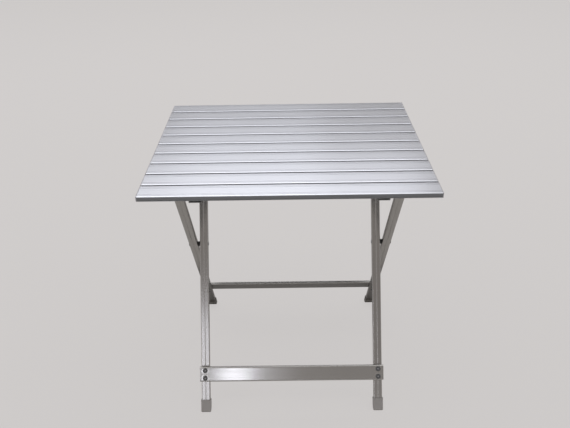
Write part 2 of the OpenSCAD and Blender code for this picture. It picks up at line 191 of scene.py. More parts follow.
world = bpy.data.worlds.new("studio")
bpy.context.scene.world = world
world.use_nodes = True
tree = world.node_tree
tree.nodes.clear()
place = add(tree, "ShaderNodeTexCoord")
height = add(tree, "ShaderNodeSeparateXYZ", {"Vector": place.outputs["Generated"]})
sky = add(tree, "ShaderNodeValToRGB", {"Fac": height.outputs["Z"]})
while len(sky.color_ramp.elements) < len(sky_steps):
    sky.color_ramp.elements.new(0.5)
for step, (where, tone) in zip(sky.color_ramp.elements, sky_steps):
    step.position, step.color = where, linear(tone)
to_side = add(tree, "ShaderNodeMath", {0: height.outputs["X"]}, operation="ABSOLUTE")
side = add(
    tree,
    "ShaderNodeMapRange",
    {"Value": to_side.outputs[0], "From Min": 0.42, "From Max": 0.8},
    interpolation_type="SMOOTHSTEP",
)
room = add(
    tree,
    "ShaderNodeMix",
    {0: side.outputs["Result"], 6: sky.outputs["Color"], 7: linear(horizon)},
    data_type="RGBA",
)
glow = add(tree, "ShaderNodeBackground", {"Color": room.outputs[2], "Strength": 1.0})
add(tree, "ShaderNodeOutputWorld", {"Surface": glow.outputs["Background"]})
print("sky steps", sky_steps)

# %% [markdown]
# ## Softboxes
# Two softboxes behind the table are mirrored by the top and draw the bright
# line on each slat's edge. A wide, dim ceiling keeps the top pale from every
# side. Three strips in front are mirrored by upright faces: the narrow bright
# one and its faint neighbour draw the streak on the low crossbar, and the one
# further left lights the left legs. A softbox could be a glowing plane, but a
# lamp with a size gives the same reflection with less noise.

# %% The softboxes
def softbox(name, place, aim, width, height, level, tone):
    """A rectangular lamp whose face has the given brightness, unseen itself."""
    lamp = bpy.data.lights.new(name, "AREA")
    lamp.shape = "RECTANGLE"
    lamp.size, lamp.size_y = width, height
    lamp.energy = level * math.pi * width * height
    lamp.color = linear(tone)[:3]
    holder = bpy.data.objects.new(name, lamp)
    turn = (Vector(aim) - Vector(place)).to_track_quat("-Z", "Y")
    holder.matrix_world = Matrix.Translation(place) @ turn.to_matrix().to_4x4()
    holder.visible_camera = False
    bpy.context.scene.collection.objects.link(holder)


softbox("rear_softbox", (-0.27, 3.0, 3.35), (0, 0, 0.7), 3.2, 1.6, 1.56, "#f9f9ff")
softbox("low_softbox", (-0.35, 3.4, 2.45), (0, 0, 0.7), 1.3, 0.7, 0.5, "#f6f8ff")
softbox("ceiling_softbox", (0, 1.2, 4.2), (0, 1.201, 0), 9.0, 5.2, 0.74, "#ffffff")
softbox("front_strip", (-0.52, -4.0, 1.22), (0, 0, 0.3), 0.22, 1.18, 2.95, "#f4f6ff")
softbox("front_fill", (-0.2, -4.0, 1.22), (0, 0, 0.3), 0.3, 1.18, 0.2, "#f4f6ff")
softbox("side_strip", (-1.2, -4.0, 1.22), (-0.24, 0, 0.3), 0.45, 1.0, 2.4, "#f4f6ff")

# %% [markdown]
# ## Cards
# In a studio, felt cards are laid on the floor to choose what upright metal
# mirrors. These three lie in front of, under and behind the table, the one in
# front the darkest. The paper could be painted instead, but then the camera
# would see it. Only reflections see the cards: they cast no shadow and colour
# nothing.

# %% The cards
card_w, card_up = 3.0, 0.002
# real nap is too fine to show, so each side of a card has only 300 tufts
tufts = 300.0


def card(name, near, far, dark, light):
    """A felt card on the floor from near to far, seen in reflections only."""
    bpy.ops.mesh.primitive_plane_add(size=1, location=(0, (near + far) / 2, card_up))
    sheet = bpy.context.object
    sheet.name = name
    sheet.scale = (card_w, far - near, 1)
    sheet.visible_camera = sheet.visible_diffuse = sheet.visible_shadow = False
    felt, tree = finish(f"felt of the {name}")
    place = add(tree, "ShaderNodeTexCoord")
    nap = add(
        tree,
        "ShaderNodeTexNoise",
        {"Vector": place.outputs["Object"], "Scale": tufts},
    )
    tone = add(
        tree,
        "ShaderNodeMix",
        {0: nap.outputs["Fac"], 6: linear(dark), 7: linear(light)},
        data_type="RGBA",
    )
    matt = add(tree, "ShaderNodeBsdfDiffuse", {"Color": tone.outputs[2], "Roughness": 1.0})
    add(tree, "ShaderNodeOutputMaterial", {"Surface": matt.outputs["BSDF"]})
    sheet.data.materials.append(felt)
    print(name, "lies from", near, "to", far, "m")


card("front_card", -2.6, -0.5, "#696866", "#6f6e6c")
card("middle_card", -0.5, 0.1, "#d6d4d1", "#dad8d5")
card("rear_card", 0.1, 1.4, "#a3a19f", "#a8a6a4")

# %% [markdown]
# ## Drawn aluminium
# A profile is drawn through a steel die, and the die leaves fine lines that
# run along it. They are far finer than a millimetre, so the ones drawn here are
# coarser than real: 5 mm wide in the tone, 1.2 mm wide in the gloss and the
# relief, and longer than the bar. The same lines also pull every reflection wide
# across the bar and keep it narrow along it, which is what an anisotropic shader
# does. The legs lean, so their lines are turned with them. A texture image
# could be laid on, but noise needs no unwrapping and shows no seam.

# %% Die lines
tone_lines, fine_lines = (0.005, 6.0), (0.0012, 4.0)


def die_lines(tree, width, length, turn, along):
    """Noise drawn out along X, Y or Z (0, 1, 2), turned about X; sizes in metres."""
    place = add(tree, "ShaderNodeTexCoord")
    size = [width] * 3
    size[along] = length
    run = add(
        tree,
        "ShaderNodeMapping",
        {"Vector": place.outputs["Object"], "Rotation": (turn, 0, 0), "Scale": size},
        vector_type="TEXTURE",
    )
    return add(
        tree,
        "ShaderNodeTexNoise",
        {"Vector": run.outputs["Vector"], "Scale": 1.0, "Detail": 3.0},
    )


# %% An aluminium finish
def aluminium(name, dark, light, smooth, rough, stretch, turn=0.0, along=0):
    """Drawn and anodised aluminium: tone, gloss and fine relief follow the die lines."""
    material, tree = finish(name)
    wide = die_lines(tree, *tone_lines, turn, along)
    fine = die_lines(tree, *fine_lines, turn, along)
    # hands leave patches about 11 cm wide where the metal is a little duller
    place = add(tree, "ShaderNodeTexCoord")
    handled = add(
        tree,
        "ShaderNodeTexNoise",
        {"Vector": place.outputs["Object"], "Scale": 9.0, "Detail": 2.0},
    )
    tone = add(
        tree,
        "ShaderNodeMix",
        {0: wide.outputs["Fac"], 6: linear(dark), 7: linear(light)},
        data_type="RGBA",
    )
    wear = add(
        tree,
        "ShaderNodeMix",
        {0: 0.3, 2: fine.outputs["Fac"], 3: handled.outputs["Fac"]},
        data_type="FLOAT",
    )
    gloss = add(
        tree,
        "ShaderNodeMapRange",
        {
            "Value": wear.outputs[0],
            "From Min": 0.3,
            "From Max": 0.7,
            "To Min": smooth,
            "To Max": rough,
        },
    )
    relief = add(
        tree,
        "ShaderNodeBump",
        {"Height": fine.outputs["Fac"], "Strength": 0.04, "Distance": 0.0001},
    )
    straight = add(tree, "ShaderNodeCombineXYZ", {"XYZ"[along]: 1.0})
    way = add(
        tree,
        "ShaderNodeVectorRotate",
        {"Vector": straight.outputs["Vector"], "Angle": turn},
        rotation_type="X_AXIS",
    )
    shader = add(
        tree,
        "ShaderNodeBsdfPrincipled",
        {
            "Base Color": tone.outputs[2],
            "Metallic": 1.0,
            "Roughness": gloss.outputs["Result"],
            "Anisotropic": stretch,
            "Anisotropic Rotation": 0.25,
            "Tangent": way.outputs["Vector"],
            "Normal": relief.outputs["Normal"],
        },
    )
    add(tree, "ShaderNodeOutputMaterial", {"Surface": shader.outputs["BSDF"]})
    return material


# %% Aluminium finishes
lean = math.radians(30.5)

# etched before anodising: pale, with a broad silky shine
slat_finish = aluminium("satin anodised aluminium", "#cacdd3", "#d2d5db", 0.27, 0.31, 0.2)
# polished before anodising: a crisp streak that fades fast
front_bar_finish = aluminium(
    "bright anodised aluminium, front bar", "#c3c2c2", "#cdccca", 0.13, 0.21, 0.5
)
# the same profile, less polished: an even grey sheen
rear_bar_finish = aluminium(
    "satin anodised aluminium, rear bar", "#b6b5b4", "#c0bfbd", 0.2, 0.25, 0.4
)
# polished tubes, warmer and darker than the top: long soft streaks down the leg
leg_look = ("#b6b4b3", "#c1bfbd", 0.16, 0.24, 0.5)
inner_leg_finish = aluminium("bright anodised aluminium, inner legs", *leg_look, -lean, 2)
outer_leg_finish = aluminium("bright anodised aluminium, outer legs", *leg_look, lean, 2)
# left as it came from the die: dull, with no clear reflection
rail_finish = aluminium("mill aluminium, rails", "#b4b4b4", "#c2c2c1", 0.3, 0.4, 0.4, 0.0, 1)
print("aluminium:", [m.name for m in bpy.data.materials if "aluminium" in m.name])

# %% [markdown]
# ## Plated steel
# Rods and brackets are steel with a thin bright zinc plate. Zinc grows in soft
# patches a few millimetres across, and its shine varies from patch to patch,
# which gives the eye a slightly cloudy metal. The blind rivets and their snapped
# stems are bare metal, but squeezed and torn metal is cloudy in the same way, so
# they share the finish with finer patches.

# %% A plated finish
def plated(name, dark, light, smooth, rough, patch):
    """Bright metal whose tone and gloss vary in patches of the given size."""
    material, tree = finish(name)
    place = add(tree, "ShaderNodeTexCoord")
    patches = add(
        tree,
        "ShaderNodeTexNoise",
        {"Vector": place.outputs["Object"], "Scale": 1 / patch, "Detail": 3.0},
    )
    tone = add(
        tree,
        "ShaderNodeMix",
        {0: patches.outputs["Fac"], 6: linear(dark), 7: linear(light)},
        data_type="RGBA",
    )
    gloss = add(
        tree,
        "ShaderNodeMapRange",
        {"Value": patches.outputs["Fac"], "To Min": smooth, "To Max": rough},
    )
    relief = add(
        tree,
        "ShaderNodeBump",
        {"Height": patches.outputs["Fac"], "Strength": 0.1, "Distance": 0.0002},
    )
    shader = add(
        tree,
        "ShaderNodeBsdfPrincipled",
        {
            "Base Color": tone.outputs[2],
            "Metallic": 1.0,
            "Roughness": gloss.outputs["Result"],
            "Normal": relief.outputs["Normal"],
        },
    )
    add(tree, "ShaderNodeOutputMaterial", {"Surface": shader.outputs["BSDF"]})
    return material


# %% Steel and rivet finishes
# a drawn rod plates evenly: small patches, the clearest shine
rod_finish = plated("bright zinc plated steel rod", "#aaaaab", "#c4c4c6", 0.15, 0.35, 0.004)
# sheet from the press: wider, duller patches
bracket_finish = plated("zinc plated pressed steel", "#a3a4a6", "#bdbec0", 0.25, 0.5, 0.006)
# soft metal squeezed by the setting tool: pale, finely mottled
rivet_finish = plated("aluminium blind rivet", "#b9babc", "#cfd0d2", 0.2, 0.4, 0.002)
# a torn end: bright grains, drawn about a millimetre wide to show at all
mandrel_finish = plated(
    "snapped rivet stem, bright steel", "#b4b5b8", "#dadbdd", 0.2, 0.45, 0.0012
)
print("metal:", [m.name for m in (rod_finish, bracket_finish, rivet_finish, mandrel_finish)])

# %% [markdown]
# ## Enamelled rivets and moulded plastic
# The rivet heads of the crossbars are enamelled dark grey. The feet and end caps
# are polypropylene moulded in a tool with a fine spark-eroded grain, and the
# spacers and push caps are black nylon. Real grain is too fine to show, so it is
# drawn one or two millimetres wide, and at a tenth of a millimetre deep it shows
# only as a softer shine. The front feet stand in dust, so grime is rubbed into
# their lowest 6 mm. The rear feet stand in the table's shade, so their plastic is
# painted darker as shade, and their low band is painted darker still as shade.

# %% A moulded finish
# the low band: grime on the front feet, painted shade on the rear feet
grime_and_shade_up, grime_and_shade_part = 0.006, 1.6


def moulded(name, dark, light, smooth, rough, grain, depth, grime_and_shade_tone=None):
    """Moulded plastic or enamel with a fine grain, and a darker band low down if it has a low
    tone.
    """
    material, tree = finish(name)
    place = add(tree, "ShaderNodeTexCoord")
    fine = add(
        tree,
        "ShaderNodeTexNoise",
        {"Vector": place.outputs["Object"], "Scale": 1 / grain, "Detail": 2.0},
    )
    # it cools unevenly, so tone and gloss drift over about 2 cm
    slow = add(
        tree,
        "ShaderNodeTexNoise",
        {"Vector": place.outputs["Object"], "Scale": 45.0, "Detail": 4.0},
    )
    tone = add(
        tree,
        "ShaderNodeMix",
        {0: slow.outputs["Fac"], 6: linear(dark), 7: linear(light)},
        data_type="RGBA",
    )
    colour = tone.outputs[2]
    # the lowest 6 mm darken: grime on the front feet, painted shade on the rear feet
    if grime_and_shade_tone:
        up = add(tree, "ShaderNodeSeparateXYZ", {"Vector": place.outputs["Object"]})
        low = add(
            tree,
            "ShaderNodeMapRange",
            {
                "Value": up.outputs["Z"],
                "From Min": 0.0,
                "From Max": grime_and_shade_up,
                "To Min": grime_and_shade_part,
                "To Max": 0.0,
            },
        )
        grime_and_shade_amount = add(
            tree,
            "ShaderNodeMath",
            {0: low.outputs["Result"], 1: slow.outputs["Fac"]},
            operation="MULTIPLY",
        )
        grimed_and_shaded = add(
            tree,
            "ShaderNodeMix",
            {0: grime_and_shade_amount.outputs["Value"], 6: colour, 7: linear(grime_and_shade_tone)},
            data_type="RGBA",
        )
        colour = grimed_and_shaded.outputs[2]
    gloss = add(
        tree,
        "ShaderNodeMapRange",
        {"Value": slow.outputs["Fac"], "To Min": smooth, "To Max": rough},
    )
    relief = add(
        tree,
        "ShaderNodeBump",
        {"Height": fine.outputs["Fac"], "Strength": 0.4, "Distance": depth},
    )
    shader = add(
        tree,
        "ShaderNodeBsdfPrincipled",
        {
            "Base Color": colour,
            "Roughness": gloss.outputs["Result"],
            "IOR": 1.49,
            "Normal": relief.outputs["Normal"],
        },
    )
    add(tree, "ShaderNodeOutputMaterial", {"Surface": shader.outputs["BSDF"]})
    return material


# %% Enamel and plastic finishes
# stoved enamel flows smooth: dark, with a soft clear shine
enamel_finish = moulded(
    "dark grey enamel on steel", "#5a5b5e", "#68696c", 0.25, 0.4, 0.002, 0.00003
)
# a dry, even surface that hardly shines
eroded = (0.5, 0.65, 0.0012, 0.0001)
grey_plastic = moulded(
    "grey polypropylene, eroded grain", "#a7a5a4", "#b1afae", *eroded, "#8d8985"
)
# a little smoother and bluer than the feet, near the tone of the slats
cap_plastic = moulded(
    "pale grey polypropylene end caps", "#aaaab0", "#b6b6bb", 0.45, 0.6, 0.0012, 0.0001
)
# the front feet's plastic, painted darker as shade for the rear feet under the table;
# its low band is painted darker still, as shade where they meet the floor
rear_plastic_painted_shade = moulded(
    "darker grey polypropylene, rear feet", "#716e6a", "#7b7874", *eroded, "#4d4a47"
)
# nearly black, with a dull gleam on its rims
black_nylon = moulded("black nylon, moulded", "#1d1d1e", "#262628", 0.35, 0.5, 0.001, 0.00006)
print(len(bpy.data.materials), "materials so far")

# %% [markdown]
# ## Finishes on the solids
# Every solid gets its finish, also those that a finer piece will stand for
# later, so that a copy of a solid already wears the right one.

# %% Finishes on the solids
sides = ("left", "right")
finishes = {
    slat_finish: [f"slat_{n:02d}" for n in range(1, 11)],
    front_bar_finish: ["front_crossbar"],
    rear_bar_finish: ["rear_crossbar"],
    inner_leg_finish: ["inner_leg_left", "inner_leg_right"],
    outer_leg_finish: ["outer_leg_left", "outer_leg_right"],
    rail_finish: ["rail_left", "rail_right"],
    rod_finish: ["hinge_rod", "rest_rod", "pivot_rivets"],
    bracket_finish: [f"{kind}_bracket_{side}" for kind in ("hinge", "stop") for side in sides],
    rivet_finish: ["slat_rivets_left", "slat_rivets_right", "bracket_rivets"],
    mandrel_finish: ["front_rivet_mandrels", "rear_rivet_mandrels"],
    enamel_finish: ["front_crossbar_rivets", "rear_crossbar_rivets"],
    grey_plastic: [f"{leg}_foot_{side}" for leg in ("inner", "outer") for side in sides]
    + ["inner_leg_plugs", "outer_leg_plugs"],
    cap_plastic: ["slat_end_caps_left", "slat_end_caps_right"],
    black_nylon: ["pivot_spacers", "hinge_rod_push_caps", "rest_rod_push_caps"],
}
for material, names in finishes.items():
    for name in names:
        nodes[name].data.materials.clear()
        nodes[name].data.materials.append(material)
print(sum(len(names) for names in finishes.values()), "nodes have their finish")

# %% [markdown]
# ## Modelling by hand
# The pieces below are made the way one works at the screen: start from a
# primitive, pick edges or faces, then bevel, inset or extrude them. A script
# can't point with a mouse, so picking is done by place and direction instead.
# Each model is finished once, and its copies are put in their places.

# %% Picking and closing
gentle, sharp = math.radians(35), math.radians(40)


def alone(piece):
    """Makes a piece the only selected and the active object."""
    bpy.ops.object.select_all(action="DESELECT")
    piece.select_set(True)
    bpy.context.view_layer.objects.active = piece


def pick(piece, kind, test):
    """Selects faces, edges or vertices whose place and direction pass; stays in edit mode."""
    bpy.ops.object.mode_set(mode="EDIT")
    bpy.ops.mesh.select_mode(type=kind)
    bpy.ops.mesh.select_all(action="DESELECT")
    bpy.ops.object.mode_set(mode="OBJECT")
    mesh = piece.data
    if kind == "FACE":
        for face in mesh.polygons:
            face.select = test(face.center, face.normal)
    elif kind == "VERT":
        for vertex in mesh.vertices:
            vertex.select = test(vertex.co, vertex.normal)
    else:
        for edge in mesh.edges:
            start, end = (mesh.vertices[v].co for v in edge.vertices)
            edge.select = test((start + end) / 2, (end - start).normalized())
    bpy.ops.object.mode_set(mode="EDIT")


def close_up(piece):
    """Closes a mesh's seams, turns its faces outwards and smooths its gentle angles."""
    alone(piece)
    bpy.ops.object.mode_set(mode="EDIT")
    bpy.ops.mesh.select_all(action="SELECT")
    bpy.ops.mesh.remove_doubles(threshold=1e-6)
    bpy.ops.mesh.normals_make_consistent(inside=False)
    bpy.ops.object.mode_set(mode="OBJECT")
    bpy.ops.object.shade_smooth_by_angle(angle=gentle)


def break_edges(piece, width):
    """Bevels every sharp edge and closes the mesh."""
    alone(piece)
    bevel = piece.modifiers.new("broken edges", "BEVEL")
    bevel.width, bevel.segments = width, 2
    bevel.limit_method, bevel.angle_limit = "ANGLE", sharp
    bpy.ops.object.modifier_apply(modifier=bevel.name)
    close_up(piece)


def tell(piece):
    """Prints a piece's size in mm and its number of faces."""
    size = [round(v * 1000, 2) for v in piece.dimensions]
    print(piece.name, size, "mm,", len(piece.data.polygons), "faces")


# %% Standing for a solid
def stand_for(piece, node, body):
    """Lets a finished piece ride on its body in the place of a solid."""
    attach(piece, body)
    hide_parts(node)


def place_copy(model, name, where, body, node, slot, *materials):
    """A copy of a model with its own mesh, put in its place and fitted to its body."""
    piece = model.copy()
    piece.data = model.data.copy()
    piece.name = piece.data.name = name
    bpy.context.scene.collection.objects.link(piece)
    piece.matrix_world = where
    alone(piece)
    bpy.ops.object.transform_apply(location=True, rotation=True, scale=True)
    piece.data.materials.clear()
    for material in materials:
        piece.data.materials.append(material)
    stand_for(piece, node, body)


# %% [markdown]
# ## Feet
# Each leg ends in a boot of grey polypropylene. It follows the leg's lean, has a
# bead round its mouth, and its sole is rounded at toe and heel so that the table
# can be tipped without scraping the floor. It could be lofted between two
# outlines, but cutting is simpler, as with a bar of soap: a leaning block is cut
# off level with the floor, its long edges are rounded, and the mouth is sunk
# into its top. The four are one model, turned round for the legs that lean the
# other way.

# %% The block, cut level and rounded
up_leg = Vector((0, math.sin(lean), math.cos(lean)))
foot_w, foot_d, foot_up, block_l = 0.0271, 0.0166, 0.031, 0.06
toe_r, side_r = 0.0058, 0.003
# picking allows for a hair's breadth
hair = 1e-5

bpy.ops.object.select_all(action="DESELECT")
bpy.ops.mesh.primitive_cube_add(
    size=1, location=up_leg * (foot_up - block_l / 2), rotation=(-lean, 0, 0)
)
boot = bpy.context.object
boot.name = "foot_boot"
boot.scale = (foot_w, foot_d, block_l)
bpy.ops.object.transform_apply(location=True, rotation=True, scale=True)
bpy.ops.object.mode_set(mode="EDIT")
bpy.ops.mesh.select_all(action="SELECT")
bpy.ops.mesh.bisect(plane_co=(0, 0, 0), plane_no=(0, 0, 1), use_fill=True, clear_inner=True)
pick(boot, "EDGE", lambda mid, way: mid.z < hair and abs(way.x) > 0.9)
bpy.ops.mesh.bevel(offset=toe_r, segments=6, affect="EDGES", clamp_overlap=True)
pick(
    boot,
    "EDGE",
    lambda mid, way: abs(mid.x) > foot_w / 2 - hair
    and abs(way.x) < 0.5
    and mid.dot(up_leg) < foot_up - 10 * hair,
)
bpy.ops.mesh.bevel(offset=side_r, segments=5, affect="EDGES", clamp_overlap=False)
bpy.ops.object.mode_set(mode="OBJECT")
tell(boot)

# %% The bead, the mouth and the sole
lip_up, lip_out, boot_wall, sole_up = 0.003, 0.0005, 0.0019, 0.010
tread_rim, tread_up, mould_r = 0.0012, 0.0005, 0.0003

bpy.ops.object.mode_set(mode="EDIT")
bpy.ops.mesh.select_all(action="SELECT")
bpy.ops.mesh.bisect(plane_co=up_leg * (foot_up - lip_up), plane_no=up_leg)
pick(
    boot,
    "FACE",
    lambda mid, way: mid.dot(up_leg) > foot_up - lip_up and abs(way.dot(up_leg)) < 0.5,
)
bpy.ops.mesh.extrude_region_shrink_fatten(TRANSFORM_OT_shrink_fatten={"value": lip_out})
pick(
    boot,
    "FACE",
    lambda mid, way: way.dot(up_leg) > 0.9 and mid.dot(up_leg) > foot_up - hair,
)
bpy.ops.mesh.dissolve_faces()
bpy.ops.mesh.inset(thickness=boot_wall + lip_out)
bpy.ops.mesh.extrude_region_move(TRANSFORM_OT_translate={"value": up_leg * (sole_up - foot_up)})
pick(boot, "FACE", lambda mid, way: way.z < -0.99 and mid.z < hair)
bpy.ops.mesh.inset(thickness=tread_rim)
bpy.ops.mesh.extrude_region_move(TRANSFORM_OT_translate={"value": (0, 0, tread_up)})
bpy.ops.object.mode_set(mode="OBJECT")
break_edges(boot, mould_r)
tell(boot)

# %% The four feet
def middle(name):
    """The middle of a solid's box."""
    low, high = (Vector(corner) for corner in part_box(name))
    return (low + high) / 2


pivot = middle("pivot_spacers")
# the rear feet wear the plastic painted darker as shade
for leg, body, turn, plastic in (
    ("inner", "inner_frame", 0, grey_plastic),
    ("outer", "outer_frame", math.pi, rear_plastic_painted_shade),
):
    for side in sides:
        node = f"{leg}_foot_{side}"
        stand_x = middle(f"{leg}_leg_{side}").x
        stand_y = -pivot.z * math.tan(lean) * math.cos(turn)
        where = Matrix.Translation((stand_x, stand_y, 0)) @ Matrix.Rotation(turn, 4, "Z")
        place_copy(boot, f"{leg}_foot_boot_{side}", where, body, node, "grey_plastic", plastic)
        print(leg, side, "foot stands at", round(stand_x, 4), round(stand_y, 4))
bpy.data.objects.remove(boot)

# %% [markdown]
# ## Turned pieces
# Rivets, spacers and push caps are round. Each could be a cylinder with insets
# and bevels, but it is drawn as half of its outline and spun about its axis, so
# that the whole shape is one list of points. One vertex is pushed from point to
# point the way a pencil goes along the outline, and the spin closes the piece.

# %% A helper that spins an outline
def spun(name, outline, steps=32):
    """A round piece from its half outline of (radius, height) in mm, about Z."""
    points = [Vector((radius, 0, height)) / 1000 for radius, height in outline]
    bpy.ops.object.select_all(action="DESELECT")
    bpy.ops.mesh.primitive_plane_add(size=0.002)
    piece = bpy.context.object
    piece.name = name
    bpy.ops.object.mode_set(mode="EDIT")
    bpy.ops.mesh.select_mode(type="VERT")
    bpy.ops.mesh.select_all(action="SELECT")
    bpy.ops.mesh.merge(type="CENTER")
    bpy.ops.transform.translate(value=points[0])
    for start, end in zip(points, points[1:]):
        bpy.ops.mesh.extrude_region_move(TRANSFORM_OT_translate={"value": end - start})
    bpy.ops.mesh.select_all(action="SELECT")
    bpy.ops.mesh.spin(steps=steps, angle=2 * math.pi, center=(0, 0, 0), axis=(0, 0, 1))
    bpy.ops.object.mode_set(mode="OBJECT")
    close_up(piece)
    tell(piece)
    return piece


# %% [markdown]
# ## Crossbar rivets
# Two blind rivets hold each end of a crossbar. The setting tool pulls a stem
# through the rivet and snaps it off, which leaves a dished, dark enamelled head
# whose rim round the stem is scraped bright. The head's underside is flat on the
# bar, the shank passes through bar and leg, and a bulb holds it behind the leg.
# All of that is one outline, and the faces without enamel get the second
# material. The head sits a little deep, since the bar's wall gives under it.

# %% One crossbar rivet
bar_t, leg_d, rivet_step = 0.0095, 0.0125, 0.021
dish = 0.00015
grip = (bar_t + leg_d) * 1000
worn_r, worn_up = 0.0037, 0.0014

bar_rivet = spun(
    "bar_rivet",
    [
        (0, grip - 0.2),
        (1.65, grip - 0.2),
        (1.65, -1.55),
        (2.0, -1.75),
        (2.6, -1.85),
        (3.3, -2.15),
        (3.9, -2.2),
        (4.8, -1.95),
        (5.9, -1.4),
        (6.7, -0.85),
        (7.0, -0.5),
        (7.0, -0.15),
        (6.85, 0),
        (2.5, 0),
        (2.5, grip),
        (5.4, grip),
        (5.5, grip + 0.3),
        (5.0, grip + 0.9),
        (3.8, grip + 1.45),
        (2.0, grip + 1.75),
        (0, grip + 1.8),
    ],
)
for face in bar_rivet.data.polygons:
    scraped = face.center.xy.length < worn_r and face.center.z < -worn_up
    behind_leg = face.center.z > grip / 1000
    face.material_index = int(scraped or behind_leg)

# %% The eight crossbar rivets
crossbars = (("front", "inner", "inner_frame", 0), ("rear", "outer", "outer_frame", math.pi))

for bar, leg, body, turn in crossbars:
    spin = Matrix.Rotation(turn, 4, "Z")
    axes = spin @ Matrix.Rotation(-lean, 4, "X") @ Matrix.Rotation(math.radians(-90), 4, "X")
    along = spin.to_3x3() @ up_leg
    to_face = axes.to_3x3() @ Vector((0, 0, bar_t / 2 - dish))
    for side in sides:
        centre = middle(f"{bar}_crossbar")
        centre.x = middle(f"{leg}_leg_{side}").x
        for row, step in (("low", -1), ("high", 1)):
            start = centre + along * step * rivet_step / 2 - to_face
            place_copy(
                bar_rivet,
                f"{bar}_bar_rivet_{side}_{row}",
                Matrix.Translation(start) @ axes,
                body,
                f"{bar}_crossbar_rivets",
                "dark_rivet_steel",
                enamel_finish,
                mandrel_finish,
            )
            print(bar, side, row, "rivet at", [round(v, 4) for v in start])
bpy.data.objects.remove(bar_rivet)

# %% [markdown]
# ## Pivot rivets and spacers
# A long tubular rivet joins each pair of legs. Its ends are rolled over in a
# press, so each head is a low ring with a hole. Between the legs it carries a
# nylon spacer with a fine parting line round its middle.

# %% The pivot rivet
leg_w = 0.023
head_h = 1.4
pivot_end = Vector(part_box("pivot_rivets")[1]).x
pivot_grip = (pivot_end - middle("inner_leg_right").x + leg_w / 2) * 1000 - head_h

pivot_rivet = spun(
    "pivot_rivet",
    [
        (0, 3.0),
        (2.0, 3.0),
        (2.0, -0.9),
        (2.3, -1.25),
        (2.9, -head_h),
        (4.2, -1.3),
        (5.3, -0.95),
        (5.9, -0.45),
        (6.0, -0.1),
        (5.9, 0),
        (3.0, 0),
        (3.0, pivot_grip),
        (5.9, pivot_grip),
        (6.0, pivot_grip + 0.1),
        (5.9, pivot_grip + 0.45),
        (5.3, pivot_grip + 0.95),
        (4.2, pivot_grip + 1.3),
        (2.9, pivot_grip + head_h),
        (2.3, pivot_grip + 1.25),
        (2.0, pivot_grip + 0.9),
        (2.0, pivot_grip - 3.0),
        (0, pivot_grip - 3.0),
    ],
)

# %% The spacer
spacer_t = 5.2

spacer = spun(
    "pivot_spacer",
    [
        (3.05, 0.25),
        (3.3, 0),
        (6.5, 0),
        (7.0, 0.5),
        (7.0, spacer_t / 2 - 0.2),
        (6.8, spacer_t / 2),
        (7.0, spacer_t / 2 + 0.2),
        (7.0, spacer_t - 0.5),
        (6.5, spacer_t),
        (3.3, spacer_t),
        (3.05, spacer_t - 0.25),
        (3.05, 0.25),
    ],
    40,
)

# %% The two pivots
for side, out in (("left", -1), ("right", 1)):
    axes = Matrix.Rotation(out * math.radians(90), 4, "Y")
    inner_face = out * (abs(middle(f"inner_leg_{side}").x) - leg_w / 2)
    start = Vector((inner_face, 0, pivot.z))
    place_copy(
        pivot_rivet,
        f"pivot_rivet_{side}",
        Matrix.Translation(start) @ axes,
        "inner_frame",
        "pivot_rivets",
        "rod_steel",
        rod_finish,
    )
    start.x += out * leg_w
    place_copy(
        spacer,
        f"pivot_spacer_{side}",
        Matrix.Translation(start) @ axes,
        "inner_frame",
        "pivot_spacers",
        "black_plastic",
        black_nylon,
    )
    print(side, "rivet from x =", round(inner_face, 4), "and spacer from", round(start.x, 4))
bpy.data.objects.remove(pivot_rivet)
bpy.data.objects.remove(spacer)

# %% [markdown]
# ## Push caps
# A black nylon cap is tapped over each end of the hinge rod and of the rest rod.
# It has a thin flange and a low crown, with a step where the two meet.

# %% The four push caps
cap_h = 0.002

push_cap = spun(
    "push_cap",
    [
        (0, 0),
        (6.8, 0),
        (7.0, 0.2),
        (7.0, 0.6),
        (6.75, 0.85),
        (5.9, 0.95),
        (5.7, 1.05),
        (5.4, 1.3),
        (4.3, 1.65),
        (2.4, 1.9),
        (0, cap_h * 1000),
    ],
)
for rod, body in (("hinge_rod", "hinge_rod_body"), ("rest_rod", "outer_frame")):
    rod_end = Vector(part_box(f"{rod}_push_caps")[1]).x
    for side, out in (("left", -1), ("right", 1)):
        start = middle(f"{rod}_push_caps")
        start.x = out * (rod_end - cap_h)
        place_copy(
            push_cap,
            f"{rod}_push_cap_{side}",
            Matrix.Translation(start) @ Matrix.Rotation(out * math.radians(90), 4, "Y"),
            body,
            f"{rod}_push_caps",
            "black_plastic",
            black_nylon,
        )
        print(rod, side, "cap from x =", round(start.x, 4))
bpy.data.objects.remove(push_cap)

# %% [markdown]
# ## Slats with soft edges
# A drawn slat isn't flat to its very edge. Its top falls away a little along
# both long sides, more at the front, and that sloping strip is what shows as a
# bright line beside each dark gap. Its lower long edges are rounded, which makes
# the edge of the top look thinner. A bevel would be quicker, but it can't give
# each strip a slope of its own. So the slat is copied from its solid and cut
# along a few lines, and what lies outside them is pushed down or in. One slat is
# shaped and copied ten times.

# %% A clean copy, and a cut
def solid_copy(node, name):
    """A copy of a solid with its loose triangles joined back into flat faces."""
    piece = nodes[node].copy()
    piece.data = nodes[node].data.copy()
    piece.name = piece.data.name = name
    bpy.context.scene.collection.objects.link(piece)
    alone(piece)
    bpy.ops.object.mode_set(mode="EDIT")
    bpy.ops.mesh.select_all(action="SELECT")
    bpy.ops.mesh.remove_doubles(threshold=2e-6)
    bpy.ops.mesh.customdata_custom_splitnormals_clear()
    bpy.ops.mesh.dissolve_limited(angle_limit=math.radians(0.5))
    bpy.ops.object.mode_set(mode="OBJECT")
    return piece


def cut(place, way):
    """Draws new edges on the active piece where a plane crosses it."""
    bpy.ops.object.mode_set(mode="EDIT")
    bpy.ops.mesh.select_all(action="SELECT")
    bpy.ops.mesh.bisect(plane_co=place, plane_no=way)


